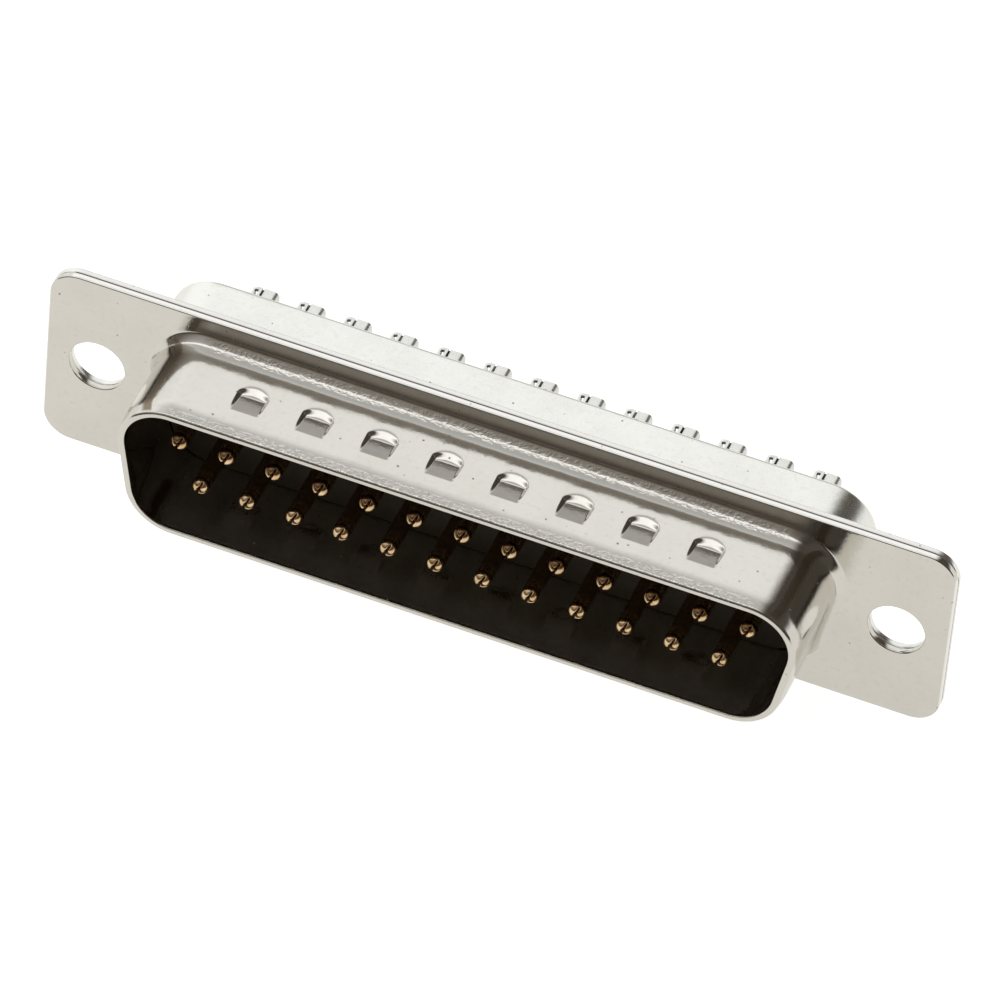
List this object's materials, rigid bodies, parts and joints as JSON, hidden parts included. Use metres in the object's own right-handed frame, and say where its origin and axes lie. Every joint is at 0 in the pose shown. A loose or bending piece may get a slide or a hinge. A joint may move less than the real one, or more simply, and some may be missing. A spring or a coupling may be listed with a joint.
{
  "type": "d-sub connector",
  "caption": "D-shaped plug connector with rows of pins inside a dimpled metal shell, a flange with mounting holes, and solder cups behind.",
  "frame": {"origin": "midway between the two flange holes, on the front face of the flange", "axes": "+X along the flange, -Y towards the mating side, +Z towards the 13-contact row (the wide side of the D)"},
  "size_m": [0.053, 0.0137, 0.0124],
  "materials": {
    "shell_plating": "bright nickel plating over drawn steel",
    "insulator_plastic": "moulded, fine satin",
    "contact_gold": "gold flash over stamped brass, tin at the cups"
  },
  "bodies": {
    "root": {"front_shell": "shell_plating", "rear_shell": "shell_plating", "front_insulator": "insulator_plastic", "rear_insulator": "insulator_plastic", "contact_01": "contact_gold", "contact_02": "contact_gold", "contact_03": "contact_gold", "contact_04": "contact_gold", "contact_05": "contact_gold", "contact_06": "contact_gold", "contact_07": "contact_gold", "contact_08": "contact_gold", "contact_09": "contact_gold", "contact_10": "contact_gold", "contact_11": "contact_gold", "contact_12": "contact_gold", "contact_13": "contact_gold", "contact_14": "contact_gold", "contact_15": "contact_gold", "contact_16": "contact_gold", "contact_17": "contact_gold", "contact_18": "contact_gold", "contact_19": "contact_gold", "contact_20": "contact_gold", "contact_21": "contact_gold", "contact_22": "contact_gold", "contact_23": "contact_gold", "contact_24": "contact_gold", "contact_25": "contact_gold"}
  },
  "joints": []
}
